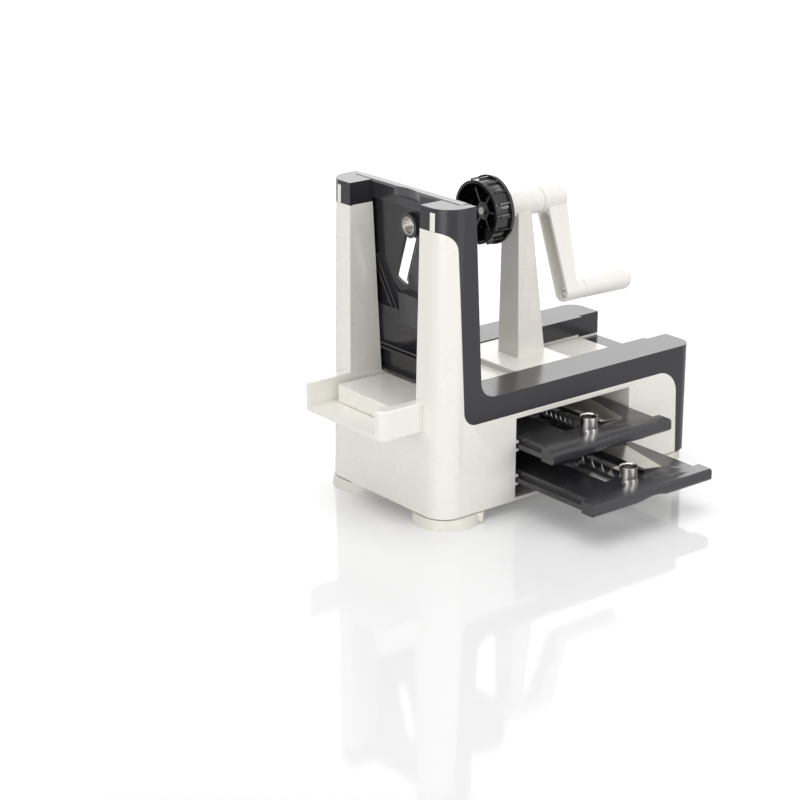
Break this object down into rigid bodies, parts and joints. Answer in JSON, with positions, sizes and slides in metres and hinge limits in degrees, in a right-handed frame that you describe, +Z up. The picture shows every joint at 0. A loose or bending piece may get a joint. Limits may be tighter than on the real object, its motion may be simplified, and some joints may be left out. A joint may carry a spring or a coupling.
{
  "type": "spiralizer",
  "caption": "Hand cranked spiralizer: sliding crank carriage with a toothed food holder, an upright slicing plate and two shredding plates in a storage bay.",
  "frame": {"origin": "middle of the footprint at table level, with the carriage, crank and plates as at rest", "axes": "+X from the outlet trough to the crank handle, -Y the side the storage bay opens to, +Z up"},
  "size_m": [0.3048, 0.2404, 0.2509],
  "materials": {
    "body": "gloss",
    "trim": "satin",
    "holder": "gloss",
    "steel": "ground",
    "bush": "matte",
    "foot": "translucent"
  },
  "bodies": {
    "base": {"base_housing": "body", "near_side_trim": "trim", "far_side_trim": "trim", "rear_crossbar": "trim", "bottom_cover": "body", "near_front_foot": "foot", "far_front_foot": "foot", "near_rear_foot": "foot", "far_rear_foot": "foot", "cover_screws": "steel"},
    "carriage": {"carriage_tongue": "body", "crank_column": "body", "front_spindle_bush": "bush", "rear_spindle_bush": "bush", "column_screws": "steel"},
    "crank": {"crank_arm": "body", "spindle_shaft": "steel", "food_holder_disc": "holder", "holder_screw": "steel"},
    "grip": {"crank_grip": "body"},
    "slicing_plate": {"slicing_plate_frame": "trim", "slicing_blade": "steel", "slicing_coring_tube": "steel"},
    "fine_plate": {"fine_plate_frame": "trim", "fine_comb": "steel", "fine_blade": "steel", "fine_blade_screws": "steel", "fine_coring_tube": "steel"},
    "coarse_plate": {"coarse_plate_frame": "trim", "coarse_comb": "steel", "coarse_blade": "steel", "coarse_blade_screws": "steel", "coarse_coring_tube": "steel"}
  },
  "joints": [
    {"name": "carriage_slide", "type": "slide", "parent": "base", "child": "carriage", "axis": [1, 0, 0], "range_m": [-0.05, 0.078]},
    {"name": "crank_turn", "type": "hinge", "parent": "carriage", "child": "crank", "pos_m": [0.0424, 0.043, 0.222], "axis": [1, 0, 0], "continuous": true},
    {"name": "grip_spin", "type": "hinge", "parent": "crank", "child": "grip", "pos_m": [0.09295, 0.01638, 0.15081], "axis": [1, 0, 0], "continuous": true},
    {"name": "slicing_plate_lift", "type": "slide", "parent": "base", "child": "slicing_plate", "axis": [-0.0506, 0, 0.9987], "range_m": [0, 0.145]},
    {"name": "fine_plate_slide", "type": "slide", "parent": "base", "child": "fine_plate", "axis": [0, -1, 0], "range_m": [-0.031, 0.099]},
    {"name": "coarse_plate_slide", "type": "slide", "parent": "base", "child": "coarse_plate", "axis": [0, -1, 0], "range_m": [-0.0765, 0.053]}
  ]
}
